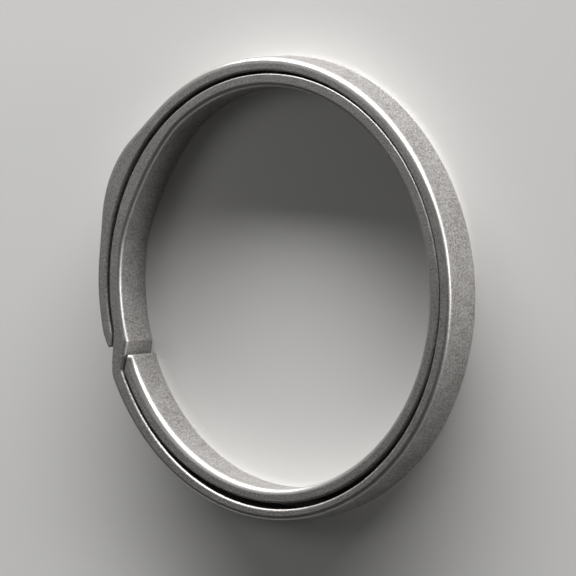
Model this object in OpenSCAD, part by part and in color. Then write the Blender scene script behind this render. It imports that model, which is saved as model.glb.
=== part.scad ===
// Split ring: two flat turns cut from one plate. The outer turn steps in beside its
// own tip and runs on as the inner turn, so a loop pushed in at the tip follows the
// slit round to the eye. The origin is the centre of the eye on the lower face, +Z
// is the axis of the ring and the step lies at -X. Angles run counterclockwise.

/* [Ring] */
// Diameter of the eye
eye_d = 27.75; // [26:0.05:32]
// Radial width of the inner turn
inner_turn = 0.98; // [0.9:0.02:1.1]
// Radial width of the outer turn, on average
outer_turn = 0.99; // [0.9:0.01:1.2]
// Thickness of the plate, which is the height of the ring
plate_t = 3; // [2:0.1:5]
// How far the lower half of the outer turn is set towards the step
outer_lean = 0.18; // [0.1:0.01:0.25]

/* [Slit] */
// Width of the slit between the turns, on average
slit = 0.16; // [0.12:0.01:0.2]
// How far the slit's outer wall is set towards the step
slit_lean = 0.07; // [0.04:0.01:0.08]
// Depth to which the slit is opened up into the outer turn
bow = 0.25; // [0.2:0.01:0.28]
// Angle of the middle of that wide stretch
bow_at = 248; // [242:1:254]
// Angle from its middle to either end
bow_span = 70; // [62:1:74]

// How far the inner turn nearly closes the slit opposite the tips
pinch = 0.05; // [0.02:0.01:0.05]
// Angle at which it comes closest
pinch_at = 5; // [0:1:10]
// Angle from there to where the turn is round again
pinch_span = 42; // [35:1:45]
// How far the inner turn stays back from the slit behind the lobe
dent = 0.12; // [0.05:0.01:0.14]
// Angle at which it stays back most
dent_at = 108; // [104:1:108]
// Angle from there to where the turn is round again
dent_span = 62; // [56:1:62]

/* [Edges] */
// Radius of the edges of the eye and of the rim
edge_r = 0.4; // [0.2:0.05:0.42]
// Radius of the lips of the slit
lip_r = 0.15; // [0.05:0.01:0.18]

/* [Step] */
// Angle at which the outer side of the step leaves the inner turn
step_out_from = 172.9; // [172.5:0.1:173.5]
// Angle at which the outer side of the step meets the rim
step_out_to = 182.7; // [182.3:0.1:183.2]
// Radius of the corner where it meets the rim
step_out_r = 2; // [1:0.1:2.5]
// Angle at which the inner side of the step meets the outer turn
step_in_to = 183.8; // [183.5:0.1:184.2]
// Angle at which the inner side of the step reaches the eye
step_in_from = 177; // [176.7:0.1:177.4]
// Radius of the corner where it reaches the eye
step_in_r = 0.45; // [0.43:0.01:0.5]

/* [Tips] */
// Gap between the step and the side of the inner tip
end_gap = 0.22; // [0.15:0.01:0.3]
// Angle at which the end of the inner tip meets the eye
inner_tip = 181.2; // [181:0.1:181.6]
// Slope of that end, away from square to the eye
inner_tip_slope = 30; // [10:1:40]
// Angle at which the outer tip begins to narrow
outer_taper = 173.6; // [173.2:0.1:174]
// Angle of the end of the outer tip
outer_tip = 176.8; // [176.2:0.1:177]
// Radial width of the outer tip at its end
outer_tip_w = 0.25; // [0.2:0.01:0.35]
// Distance of that end from the rim
outer_tip_in = 0.36; // [0.3:0.01:0.45]

/* [Lobe] */
// Angle of the crest of the lobe on the outer turn
lobe_at = 132; // [118:1:140]
// Height of the crest above the rim
lobe_rise = 0.56; // [0.4:0.02:0.7]
// Radius of the crest
lobe_r = 8.3; // [7.5:0.1:9]
// Angle of the middle of the flatter stretch of the eye
flat_at = 128.5; // [115:0.5:140]
// How far its middle stands into the eye
flat_rise = 0.24; // [0.15:0.01:0.3]
// Radius of that stretch
flat_r = 20; // [18:0.5:23]

/* [Spring] */
// How far the inner turn's free end stands out into the slit
spring = 0.12; // [0.05:0.01:0.14]
// Angle at which it stands out most
spring_at = 197; // [192:1:200]
// Angle from there to where the turn is round again
spring_span = 36; // [25:1:40]

/* [Hidden] */
OVER = 1; // how far a cut runs past the plate
CROSS = 0.02; // how far walls that meet smoothly cut through each other
EDGE_STEPS = 3; // faces that round one edge
STRAIGHT_R = 100; // radius of the walls that are all but straight
MIN_FACETS = 24; // facets of the smallest round wall, before those for its size
FACETS_PER_MM = 12; // facets that each millimetre of radius adds
ROUND_OFF_REACH = 1.5; // how far a corner's cut reaches, in radii of the corner
WINDOW_MARGIN = 0.2; // how far the stretch with the tips runs on past the step
eye_r = eye_d / 2;
inner_r = eye_r + inner_turn;
slit_r = inner_r + slit;
rim_r = slit_r + outer_turn;
slit_centre = [-slit_lean, 0];
rim_centre = [-outer_lean, 0];

// The points that the straight walls run through
step_out = [at(inner_r, step_out_from), at(rim_r + outer_lean, step_out_to)];
step_in = [at(slit_r + slit_lean, step_in_to), at(eye_r, step_in_from)];
inner_side = [for (p = [step_in[1], step_in[0]]) p + end_gap * outside(step_in)];
inner_end = [at(eye_r, inner_tip), at(eye_r, inner_tip) + along(inner_tip - inner_tip_slope)];
outer_end = [for (d = [outer_tip_in, outer_tip_in + outer_tip_w]) at(rim_r - d, outer_tip)];
outer_side = [at(rim_r, outer_taper), outer_end[0]];
slit_side = [outer_end[1], at(slit_r + slit_lean, outer_taper)];

// The stretch of the ring that holds the step and both tips
window_top = step_out[0].y + WINDOW_MARGIN;
window_low = step_out[1].y - step_out_r / 2;

// The lobe's flanks are square to these angles, which makes them run smoothly into rim and crest
crest_at = rim_r + lobe_rise - lobe_r;
flank = acos((rim_r - lobe_r) / crest_at);

function facets(r) = MIN_FACETS + FACETS_PER_MM * ceil(r);
function along(angle) = [cos(angle), sin(angle)];
function at(r, angle) = r * along(angle);
function unit(way) = way / norm(way);
// The direction square to a line, into the body on its left or out of it
function inside(line) = unit([line[0].y - line[1].y, line[1].x - line[0].x]);
function outside(line) = -inside(line);
// Centre of the shallow arc through both ends of a line
function arc_centre(line, side) =
    (line[0] + line[1]) / 2 + side * sqrt(STRAIGHT_R ^ 2 - norm(line[1] - line[0]) ^ 2 / 4);
// A line square to the given direction, with the origin on its left
function tangent(distance, angle) = [for (d = [-1, 1]) at(distance, angle) + d * along(angle + 90)];
// How far a round wall's centre moves for the wall to stand out by rise over +-span
function shift(rise, span) = rise / (1 - cos(span));
// Centre of the corner of radius r between a straight wall and a round one: it is reach away
// from the round wall's centre, where the straight wall comes in (-1) or goes out (1)
function corner(line, r, centre, reach, out) =
    let (way = unit(line[1] - line[0]), from = line[0] + r * inside(line) - centre, along_way = from * way)
    centre + from + way * (out * sqrt(along_way * along_way - from * from + reach * reach) - along_way);
// A rounded wall, as points of distance into the body and height
function wall(e) = concat(
    [for (i = [0:EDGE_STEPS]) [e - e * sin(90 * i / EDGE_STEPS), e - e * cos(90 * i / EDGE_STEPS)]],
    [for (i = [EDGE_STEPS:-1:0])
        [e - e * sin(90 * i / EDGE_STEPS), plate_t - e + e * cos(90 * i / EDGE_STEPS)]]
);

// A round body with rounded edges
module disc(r, e, centre = [0, 0])
    translate(centre) rotate_extrude($fn = facets(r))
        polygon(concat([[0, 0]], [for (p = wall(e)) [r - p.x, p.y]], [[0, plate_t]]));

// A round cut that leaves rounded edges
module hole(r, e, centre = [0, 0])
    translate(centre) rotate_extrude($fn = facets(r)) polygon(concat(
        [[0, -OVER], [r + e, -OVER]],
        [for (p = wall(e)) [r + p.x, p.y]],
        [[r + e, plate_t + OVER], [0, plate_t + OVER]]
    ));

// A body on the left of a straight wall, or a cut on its right: the wall is a very shallow arc
module left_of(line, e) disc(STRAIGHT_R, e, arc_centre(line, inside(line)));
module right_of(line, e) hole(STRAIGHT_R, e, arc_centre(line, outside(line)));

// What a rounded corner takes off: its centre faces the two walls along facing_a and facing_b
module round_off(centre, r, facing_a, facing_b) {
    a = ROUND_OFF_REACH * r * facing_a;
    b = ROUND_OFF_REACH * r * facing_b;
    difference() {
        translate([0, 0, -OVER]) linear_extrude(plate_t + 2 * OVER)
            polygon([for (p = [[0, 0], a, a + b, b]) centre + p]);
        disc(r + CROSS, edge_r, centre);
    }
}

// The plate from one corner to the other
module plate(from, to, over = 0)
    translate([from.x, from.y, -over]) cube([to.x - from.x, to.y - from.y, plate_t + 2 * over]);

module window() plate([-2 * rim_r, window_low], [0, window_top], OVER);

// The eye, with the flatter stretch behind the lobe
module eye()
    intersection() {
        hole(eye_r, edge_r);
        hole(flat_r, edge_r, at(flat_r + flat_rise - eye_r, flat_at + 180));
    }

// All that lies inside the outer turn
module slit_outer_wall() {
    hole(slit_r, lip_r, slit_centre);
    hole(slit_r + bow - shift(bow, bow_span), lip_r, at(shift(bow, bow_span), bow_at));
}

// A disc whose wall stands out from the inner turn by rise, over +-span
module bulge(rise, angle, span)
    disc(inner_r + rise - shift(rise, span), lip_r, at(shift(rise, span), angle));

// The inner turn as a full disc
module slit_inner_wall()
    intersection() {
        bulge(-dent, dent_at, dent_span);
        union() {
            disc(inner_r, lip_r);
            bulge(spring, spring_at, spring_span);
            bulge(pinch, pinch_at, pinch_span);
        }
    }

// A round crest with straight flanks
module lobe() {
    crest_centre = at(crest_at, lobe_at);
    disc(lobe_r, edge_r, crest_centre);
    intersection() {
        disc(norm(at(rim_r, lobe_at + flank) - crest_centre), edge_r, crest_centre);
        left_of(tangent(crest_at + lobe_r * cos(flank), lobe_at), edge_r);
        left_of(tangent(rim_r - CROSS, lobe_at - flank), edge_r);
        left_of(tangent(rim_r - CROSS, lobe_at + flank), edge_r);
    }
}

// The outer turn up to its tip, where it is centred on the eye and carries the lobe
module free_half()
    difference() {
        intersection() {
            plate([-2 * rim_r, window_top], [-outer_lean / 2, 2 * rim_r], OVER);
            union() {
                disc(rim_r, edge_r);
                lobe();
            }
        }
        slit_outer_wall();
    }

// The rest of the outer turn
module tied_half()
    difference() {
        disc(rim_r, edge_r, rim_centre);
        plate([-2 * rim_r, window_low], [-outer_lean / 2, 2 * rim_r], OVER);
        slit_outer_wall();
    }

module inner_round()
    difference() {
        slit_inner_wall();
        eye();
        window();
    }

// The strip where it steps from the outer turn in to the inner one, its corners still sharp
module sharp_step()
    difference() {
        intersection() {
            window();
            union() {
                disc(inner_r, lip_r);
                intersection() {
                    disc(rim_r, edge_r, rim_centre);
                    left_of(step_out, edge_r);
                }
            }
        }
        eye();
        intersection() {
            slit_outer_wall();
            right_of(step_in, lip_r);
        }
    }

module step() {
    rim_corner = corner(step_out, step_out_r, rim_centre, rim_r - step_out_r, 1);
    eye_corner = corner(step_in, step_in_r, [0, 0], eye_r + step_in_r, -1);
    difference() {
        sharp_step();
        round_off(rim_corner, step_out_r, outside(step_out), unit(rim_corner - rim_centre));
        round_off(eye_corner, step_in_r, outside(step_in), -unit(eye_corner));
    }
}

module inner_tip()
    difference() {
        intersection() {
            window();
            slit_inner_wall();
            left_of(inner_side, lip_r);
            left_of(inner_end, lip_r);
        }
        eye();
    }

module outer_tip()
    difference() {
        intersection() {
            window();
            disc(rim_r, edge_r);
            left_of(outer_side, lip_r);
            left_of(outer_end, lip_r);
            left_of(slit_side, lip_r);
        }
        slit_outer_wall();
    }

module split_ring()
    color("#8b8786") {
        free_half();
        tied_half();
        inner_round();
        step();
        inner_tip();
        outer_tip();
    }

split_ring();
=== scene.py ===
"""Split ring: two flat turns cut from one titanium plate and bead-blasted, on a pale floor.

Lengths of the ring are in millimetres until its mesh is brought to metres at the end. Angles are
in degrees, counterclockwise, and the origin is the centre of the eye on the lower face.
"""
from collections import namedtuple
from math import acos, atan2, cos, degrees, radians, sin, sqrt, tan

import bmesh
import bpy
from mathutils import Matrix, Vector


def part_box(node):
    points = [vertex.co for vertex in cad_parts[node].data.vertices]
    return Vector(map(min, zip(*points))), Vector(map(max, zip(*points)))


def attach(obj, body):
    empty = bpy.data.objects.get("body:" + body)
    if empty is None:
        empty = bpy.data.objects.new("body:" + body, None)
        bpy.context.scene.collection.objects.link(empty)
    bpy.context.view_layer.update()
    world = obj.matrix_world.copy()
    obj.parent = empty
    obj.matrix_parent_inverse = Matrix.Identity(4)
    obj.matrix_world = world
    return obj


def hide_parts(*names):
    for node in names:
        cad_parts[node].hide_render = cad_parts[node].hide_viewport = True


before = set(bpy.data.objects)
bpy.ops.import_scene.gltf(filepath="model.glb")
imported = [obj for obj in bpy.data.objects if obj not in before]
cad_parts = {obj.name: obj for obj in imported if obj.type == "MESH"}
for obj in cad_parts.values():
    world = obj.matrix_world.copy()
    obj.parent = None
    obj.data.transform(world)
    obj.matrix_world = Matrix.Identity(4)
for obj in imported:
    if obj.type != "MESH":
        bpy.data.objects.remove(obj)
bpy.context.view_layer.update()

MM = 0.001
low, high = (Vector(corner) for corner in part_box("split_ring"))

# The plate, the round walls from the eye outwards, and how far two of them are shifted to the step
PLATE = (high.z - low.z) / MM
EYE_R = 13.875
INNER_R = EYE_R + 0.98
SLIT_R = INNER_R + 0.16
RIM_R = SLIT_R + 0.99
SLIT_LEAN = 0.07
RIM_LEAN = 0.18

# The lobe, and the flatter stretch of the eye behind it
LOBE_AT = 132
LOBE_R = 8.3
LOBE_RISE = 0.56
FLAT_AT = 128.5
FLAT_R = 20
FLAT_IN = 0.24

# The ends of the step's outer and inner side, by angle
STEP_OUT_FROM, STEP_OUT_TO = 172.9, 182.7
STEP_IN_TO, STEP_IN_FROM = 183.8, 177

# The two tips: where they start and end, the slope of the inner one's end and its gap to the step,
# and how far in from the rim the outer one's end lies and how wide it is
INNER_TIP, TIP_SLOPE, END_GAP = 181.2, 30, 0.22
OUTER_TAPER, OUTER_TIP = 173.6, 176.8
TIP_IN, TIP_W = 0.36, 0.25

# Radii of the rounded edges: those of eye and rim, of the step, of the slit and of the two tips.
# Handling has worn them more in some places than in others
EDGE = 0.4
WIDE_EDGE = 0.48
THIN_EDGE = 0.3
STEP_EDGE = 0.24
STEP_END_EDGE = 0.32
LIP = 0.15
WIDE_LIP = 0.18
THIN_LIP = 0.1
INNER_TIP_EDGE = 0.36
INNER_TIP_LIP = 0.2
NOSE_EDGE = 0.12

# Spacing of the stations that the edge profile is drawn through
STATION_ANGLE = 1.0
STATION_LENGTH = 0.12
CORNER_ANGLE = 10
CLEAR = 0.03  # room between a rounded corner and the next station
EDGE_STEPS = 7  # faces that round one edge
WELD = 1e-4  # points closer than this are one
ROUNDING = 1  # angle that keeps the rim's last spot on the rim

Circle = namedtuple("Circle", "radius centre")
Spot = namedtuple("Spot", "point edge corner")
Station = namedtuple("Station", "point inward edge pivot bend")


def at(radius, angle):
    """A point in plan."""
    return radius * Vector((cos(radians(angle)), sin(radians(angle))))


def left(way):
    """The direction square to way on its left, where the metal is."""
    return Vector((-way.y, way.x))


def reach(circle, angle):
    """How far a circle is from the eye's centre at an angle."""
    along = circle.centre.dot(at(1, angle))
    return along + sqrt(along ** 2 - circle.centre.length_squared + circle.radius ** 2)


def bulge(radius, rise, span, angle):
    """A circle that stands out from a round wall by rise, over span to either side of angle."""
    shift = rise / (1 - cos(radians(span)))
    return Circle(radius + rise - shift, at(shift, angle))


# The eye, and its flatter stretch behind the lobe
EYE = Circle(EYE_R, Vector((0, 0)))
FLAT = Circle(FLAT_R, at(FLAT_R + FLAT_IN - EYE_R, FLAT_AT + 180))

# The slit's inner wall, and where it is sprung out, pinched and set back
INNER = Circle(INNER_R, Vector((0, 0)))
SPRUNG = bulge(INNER_R, rise=0.12, span=36, angle=197)
PINCHED = bulge(INNER_R, rise=0.05, span=42, angle=5)
DENTED = bulge(INNER_R, rise=-0.12, span=62, angle=108)

# The slit's outer wall, and where it is opened up
SLIT = Circle(SLIT_R, Vector((-SLIT_LEAN, 0)))
BOW = bulge(SLIT_R, rise=0.25, span=70, angle=248)

# The rim, which leans towards the step except in the quarter with the lobe
RIM = Circle(RIM_R, Vector((-RIM_LEAN, 0)))
RIM_LEANS_TO = degrees(acos(-RIM_LEAN / 2 / RIM_R))

# The lobe's round crest and the straight flanks to either side of it
CREST_AT = RIM_R + LOBE_RISE - LOBE_R
CREST = Circle(LOBE_R, at(CREST_AT, LOBE_AT))
FLANK = degrees(acos((RIM_R - LOBE_R) / CREST_AT))
CREST_TO = FLANK - degrees(atan2(CREST_AT * sin(radians(FLANK)), RIM_R))


def rim_wall(angle):
    """How far the rim is from the eye's centre at an angle. The next three do the other walls."""
    angle %= 360
    if not RIM_LEANS_TO < angle < OUTER_TAPER + ROUNDING:
        return reach(RIM, angle)
    off = abs(angle - LOBE_AT)
    if off >= FLANK:
        return RIM_R
    return reach(CREST, angle) if off < CREST_TO else RIM_R / cos(radians(FLANK - off))


def slit_outer_wall(angle):
    return max(reach(SLIT, angle), reach(BOW, angle))


def slit_inner_wall(angle):
    out = max(reach(circle, angle) for circle in (INNER, SPRUNG, PINCHED))
    return min(out, reach(DENTED, angle))


def eye_wall(angle):
    return min(reach(EYE, angle), reach(FLAT, angle))


def crossing(point, way, other, other_way):
    """Where two straight walls meet."""
    return point + way * ((other - point).cross(other_way) / way.cross(other_way))


def run_out(point, way, circle):
    """Where a straight wall runs out through a circle."""
    along = (circle.centre - point).dot(way)
    off = (circle.centre - point).length_squared - along ** 2
    return point + way * (along + sqrt(circle.radius ** 2 - off))


def run(marks, place, measure, spacing, corner):
    """Spots from the first (position, edge radius) mark to the last, without the first itself.

    The radius of the edge grades from mark to mark. The last spot may be a corner.
    """
    spots = []
    for (start, edge), (end, end_edge) in zip(marks, marks[1:]):
        count = max(2, round(measure(end - start) / spacing))
        for k in range(1, count + 1):
            point = place(start + (end - start) * k / count)
            spots.append(Spot(point, edge + (end_edge - edge) * k / count, 0))
    spots[-1] = spots[-1]._replace(corner=corner)
    return spots


def round_run(wall, *marks, corner):
    """Spots along a round wall, by angle."""
    return run(marks, lambda angle: at(wall(angle), angle), abs, STATION_ANGLE, corner)


def straight_run(*marks, corner):
    """Spots along a straight wall, by point."""
    return run(marks, Vector, lambda way: way.length, STATION_LENGTH, corner)


# Corners of the straight walls
step_out = [at(INNER_R, STEP_OUT_FROM), at(RIM_R + RIM_LEAN, STEP_OUT_TO)]
step_in = [at(SLIT_R + SLIT_LEAN, STEP_IN_TO), at(EYE_R, STEP_IN_FROM)]
step_in_way = (step_in[1] - step_in[0]).normalized()
inner_side = step_in[1] - END_GAP * left(step_in_way)
inner_tip_start = at(EYE_R, INNER_TIP)
inner_end_way = at(1, INNER_TIP - TIP_SLOPE)
inner_tip_corner = crossing(inner_tip_start, inner_end_way, inner_side, step_in_way)
inner_side_end = run_out(inner_side, -step_in_way, SPRUNG)
inner_side_angle = degrees(atan2(inner_side_end.y, inner_side_end.x)) + 360
outer_end = [at(RIM_R - TIP_IN, OUTER_TIP), at(RIM_R - TIP_IN - TIP_W, OUTER_TIP)]
slit_taper = at(slit_outer_wall(OUTER_TAPER), OUTER_TAPER)

# The outline with the metal on its left: rim, outer tip, slit, step, eye, inner tip and slit
outline = (
    round_run(
        rim_wall, (STEP_OUT_TO, EDGE), (225, EDGE), (345, THIN_EDGE), (375, WIDE_EDGE),
        (440, WIDE_EDGE), (480, EDGE), (360 + OUTER_TAPER, EDGE), corner=1)
    + straight_run((at(RIM_R, OUTER_TAPER), EDGE), (outer_end[0], NOSE_EDGE), corner=0.15)
    + straight_run((outer_end[0], NOSE_EDGE), (outer_end[1], NOSE_EDGE), corner=0.15)
    + straight_run((outer_end[1], NOSE_EDGE), (slit_taper, LIP), corner=1)
    + round_run(
        slit_outer_wall, (360 + OUTER_TAPER, LIP), (300, LIP), (260, WIDE_LIP),
        (195, WIDE_LIP), (STEP_IN_TO, LIP), corner=0.2)
    + straight_run(
        (step_in[0], LIP), (step_in[0].lerp(step_in[1], 0.7), STEP_EDGE),
        (step_in[1], STEP_END_EDGE), corner=0.2)
    + round_run(
        eye_wall, (STEP_IN_FROM, STEP_END_EDGE), (130, STEP_END_EDGE), (90, EDGE), (-90, EDGE),
        (-120, WIDE_EDGE), (-176, WIDE_EDGE), (INNER_TIP - 360, INNER_TIP_EDGE), corner=0.16)
    + straight_run((inner_tip_start, INNER_TIP_EDGE), (inner_tip_corner, INNER_TIP_LIP), corner=0.12)
    + straight_run((inner_tip_corner, INNER_TIP_LIP), (inner_side_end, LIP), corner=0.6)
    + round_run(
        slit_inner_wall, (inner_side_angle, LIP), (360, LIP), (370, THIN_LIP), (480, THIN_LIP),
        (360 + STEP_OUT_FROM, LIP), corner=0.6)
    + straight_run((step_out[0], LIP), (step_out[1], EDGE), corner=2)
)


def arc(spot, before, after):
    """Stations round a corner between two directions, and how far it trims the walls."""
    turn = atan2(before.cross(after), before.dot(after))
    side = 1 if turn > 0 else -1
    trim = spot.corner * tan(abs(turn) / 2)
    pivot = spot.point - before * trim + left(before) * (side * spot.corner)
    bend = (left(before) + left(after)).normalized() / cos(turn / 2)
    steps = max(3, round(abs(degrees(turn)) / CORNER_ANGLE))
    stations = []
    for k in range(steps + 1):
        inward = left(before)
        inward.rotate(Matrix.Rotation(turn * k / steps, 2))
        point = pivot - inward * (side * spot.corner)
        stations.append(Station(point, inward, spot.edge, pivot if side > 0 else None, bend))
    return stations, trim


def rounded(path):
    """Stations round the closed path, with an arc in place of each of its corners."""
    count = len(path)
    arcs = {}
    dropped = set()
    for i, spot in enumerate(path):
        if not spot.corner:
            continue
        before = (spot.point - path[i - 1].point).normalized()
        after = (path[(i + 1) % count].point - spot.point).normalized()
        arcs[i], trim = arc(spot, before, after)
        for step in (-1, 1):
            k = i + step
            while (path[k % count].point - spot.point).length < trim + CLEAR:
                dropped.add(k % count)
                k += step
    stations = []
    for i, spot in enumerate(path):
        if i in arcs:
            stations += arcs[i]
        elif i not in dropped:
            way = (path[(i + 1) % count].point - path[i - 1].point).normalized()
            stations.append(Station(spot.point, left(way), spot.edge, None, None))
    return stations


def inset(station, depth):
    """A point in plan at depth into the metal. An arc tighter than that closes to its pivot."""
    radius = (station.pivot - station.point).length if station.pivot else depth
    if depth <= radius:
        return station.point + station.inward * depth
    return station.pivot + station.bend * (depth - radius)


def settle(verts, station, profile, wear_and_highlight):
    """Places the edge profile at a station and masks the middle of its rounded edges: there wear
    makes the metal smoother, and its colour is lifted, partly for wear and partly as a painted
    highlight.
    """
    for vert in verts:
        depth, height, upper = vert[profile]
        plan = inset(station, depth * station.edge)
        rise = height * station.edge
        vert.co = (plan.x, plan.y, PLATE - rise if upper else rise)
        # Strongest halfway round each edge, where the highlight band lies; the colour lift it drives
        # is partly a painted highlight
        vert[wear_and_highlight] = sin(2 * acos(1 - height)) * min(station.edge / EDGE, 1) ** 2


def ring():
    """The profile of both edges, extruded from station to station and closed by the flats."""
    shape = bmesh.new()
    profile = shape.verts.layers.float_vector.new("profile")
    wear_and_highlight = shape.verts.layers.float.new("wear_and_highlight")
    quarter = [radians(90 * k / EDGE_STEPS) for k in range(EDGE_STEPS + 1)]
    lower = [(1 - sin(a), 1 - cos(a), 0) for a in quarter]
    upper = [(1 - sin(a), 1 - cos(a), 1) for a in reversed(quarter)]
    chain = [shape.verts.new() for _ in lower + upper]
    for vert, row in zip(chain, lower + upper):
        vert[profile] = row
    edges = [shape.edges.new(pair) for pair in zip(chain, chain[1:])]
    stations = rounded(outline)
    settle(chain, stations[0], profile, wear_and_highlight)
    for station in stations[1:] + stations[:1]:
        fresh = bmesh.ops.extrude_edge_only(shape, edges=edges)["geom"]
        edges = [item for item in fresh if isinstance(item, bmesh.types.BMEdge)]
        verts = [item for item in fresh if isinstance(item, bmesh.types.BMVert)]
        settle(verts, station, profile, wear_and_highlight)
    bmesh.ops.remove_doubles(shape, verts=shape.verts, dist=WELD)
    for height in (0, PLATE):
        loop = [e for e in shape.edges if e.is_boundary and abs(e.verts[0].co.z - height) < WELD]
        bmesh.ops.edgeloop_fill(shape, edges=loop)
    bmesh.ops.recalc_face_normals(shape, faces=shape.faces)
    bmesh.ops.scale(shape, vec=(MM, MM, MM), verts=shape.verts)
    bmesh.ops.translate(shape, vec=(0, 0, low.z), verts=shape.verts)
    shape.verts.layers.float_vector.remove(profile)
    return shape


def linear(code):
    """A sRGB hex colour as linear red, green, blue and alpha."""
    parts = [int(code[i:i + 2], 16) / 255 for i in (1, 3, 5)]
    return tuple(c / 12.92 if c <= 0.04045 else ((c + 0.055) / 1.055) ** 2.4 for c in parts) + (1,)


def add_node(tree, kind, links=None, **settings):
    """Adds a node. Each input is linked to a socket or set to a value, by name or number."""
    node = tree.nodes.new(kind)
    for key, value in settings.items():
        setattr(node, key, value)
    for key, value in (links or {}).items():
        if isinstance(value, bpy.types.NodeSocket):
            tree.links.new(value, node.inputs[key])
        else:
            node.inputs[key].default_value = value
    return node


def bare_material(name):
    material = bpy.data.materials.new(name)
    material.use_nodes = True
    material.node_tree.nodes.clear()
    return material, material.node_tree


# Titanium, cut from plate and bead-blasted: an even satin grey, broken up by fine light and dark
# grains. Handling has polished the rounded edges, so light runs along them in a clean bright line.
# Their colour is also lifted to a light grey, partly for that wear and partly as a painted
# highlight.
GRAIN = 0.15 * MM  # drawn coarser than the real grain, which is too fine to show
MOTTLE = 1.1 * MM  # slow drift of the blasting from place to place
GRAIN_DEPTH = 0.05 * MM


def blasted_titanium():
    material, tree = bare_material("blasted_titanium")
    place = add_node(tree, "ShaderNodeTexCoord").outputs["Object"]
    grain = add_node(tree, "ShaderNodeTexNoise", {
        "Vector": place, "Scale": 1 / GRAIN, "Detail": 2.0, "Roughness": 0.7})
    mottle = add_node(tree, "ShaderNodeTexNoise", {
        "Vector": place, "Scale": 1 / MOTTLE, "Detail": 3.0})
    grains, clouds = (
        add_node(tree, "ShaderNodeMapRange", {
            "Value": noise.outputs["Fac"], "From Min": 0.3, "From Max": 0.7}).outputs["Result"]
        for noise in (grain, mottle)
    )
    both = add_node(tree, "ShaderNodeMix", {"Factor": 0.18, "A": grains, "B": clouds})
    blasted = add_node(tree, "ShaderNodeMix", {
        "Factor": both.outputs[0], 6: linear("#7e7b79"), 7: linear("#c4c2c0")}, data_type="RGBA")
    rough = add_node(tree, "ShaderNodeMapRange", {"Value": grains, "To Min": 0.54, "To Max": 0.64})
    wear_and_highlight = add_node(tree, "ShaderNodeAttribute", attribute_name="wear_and_highlight").outputs["Fac"]
    # Lifts the edges towards a light grey: partly wear, partly a painted highlight
    tone = add_node(tree, "ShaderNodeMix", {
        "Factor": wear_and_highlight, 6: blasted.outputs[2], 7: linear("#d2d0cd")}, data_type="RGBA")
    shine = add_node(tree, "ShaderNodeMix", {
        "Factor": wear_and_highlight, "A": rough.outputs["Result"], "B": 0.34})
    relief = add_node(tree, "ShaderNodeMapRange", {"Value": wear_and_highlight, "To Min": 0.22, "To Max": 0.0})
    bump = add_node(tree, "ShaderNodeBump", {
        "Height": grains, "Strength": relief.outputs["Result"], "Distance": GRAIN_DEPTH})
    metal = add_node(tree, "ShaderNodeBsdfPrincipled", {
        "Base Color": tone.outputs[2], "Metallic": 1.0, "Roughness": shine.outputs[0],
        "Normal": bump.outputs["Normal"]})
    add_node(tree, "ShaderNodeOutputMaterial", {"Surface": metal.outputs["BSDF"]})
    return material


# Painted board, rolled with matt emulsion: plain, pale and without gloss
def matt_floor():
    material, tree = bare_material("matt_floor")
    paint = add_node(tree, "ShaderNodeBsdfPrincipled", {
        "Base Color": linear("#e8e7e5"), "Roughness": 0.9})
    add_node(tree, "ShaderNodeOutputMaterial", {"Surface": paint.outputs["BSDF"]})
    return material


def settled(shape, name, material):
    """Makes an object of the shape, with its place in its mesh."""
    mesh = bpy.data.meshes.new(name)
    shape.to_mesh(mesh)
    shape.free()
    mesh.materials.append(material)
    piece = bpy.data.objects.new(name, mesh)
    bpy.context.collection.objects.link(piece)
    return piece


split_ring = settled(ring(), "split_ring_body", blasted_titanium())
for face in split_ring.data.polygons:
    face.use_smooth = True
even_normals = split_ring.modifiers.new("Even normals", "WEIGHTED_NORMAL")
even_normals.mode = "FACE_AREA"
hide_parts("split_ring")
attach(split_ring, "root")

floor_shape = bmesh.new()
bmesh.ops.create_grid(floor_shape, x_segments=1, y_segments=1, size=3.0)
floor = settled(floor_shape, "floor", matt_floor())


def lamp(name, azimuth, elevation, distance, size, power):
    """A softbox that faces the ring. Distance, width and height are in metres."""
    light = bpy.data.lights.new(name, "AREA")
    light.shape = "RECTANGLE"
    light.size, light.size_y = size
    light.energy = power
    flat = at(cos(radians(elevation)), azimuth)
    way = Vector((flat.x, flat.y, sin(radians(elevation))))
    holder = bpy.data.objects.new(name, light)
    holder.location = way * distance
    holder.rotation_euler = way.to_track_quat("Z", "Y").to_euler()
    bpy.context.collection.objects.link(holder)


# A long low softbox lights the walls and draws the line along the edges, a small one at the side
# carries that line on towards the step, and a third lifts the flats
lamp("key", azimuth=67, elevation=13, distance=0.6, size=(1.25, 0.12), power=13.3)
lamp("side", azimuth=-14, elevation=3.2, distance=0.6, size=(0.15, 0.06), power=1.5)
lamp("fill", azimuth=138, elevation=48, distance=0.085, size=(0.045, 0.045), power=0.0055)
world = bpy.data.worlds.new("studio")
world.use_nodes = True
air = world.node_tree.nodes["Background"]
air.inputs["Color"].default_value = linear("#ffffff")
air.inputs["Strength"].default_value = 0.045
bpy.context.scene.world = world

# The camera looks down at the ring from the right
LENS = 756.4
DISTANCE = 60.241  # from the eye's centre, in radii of the eye
ASIDE, ABOVE = -0.057, -0.0099  # shifts the ring in the frame, in radii of the eye
right = Vector((0.71456, -0.27369, -0.64382))
up = Vector((0.31799, 0.94680, -0.04956))
back = Vector((0.62313, -0.16932, 0.76357))
camera = bpy.data.objects.new("camera", bpy.data.cameras.new("camera"))
camera.data.sensor_width = 36
camera.data.lens = LENS
stand = EYE_R * MM * (ASIDE * right + ABOVE * up + DISTANCE * back)
camera.matrix_world = Matrix.Translation(stand) @ Matrix((right, up, back)).transposed().to_4x4()
bpy.context.collection.objects.link(camera)
bpy.context.scene.camera = camera
bpy.context.scene.view_settings.view_transform = "Standard"
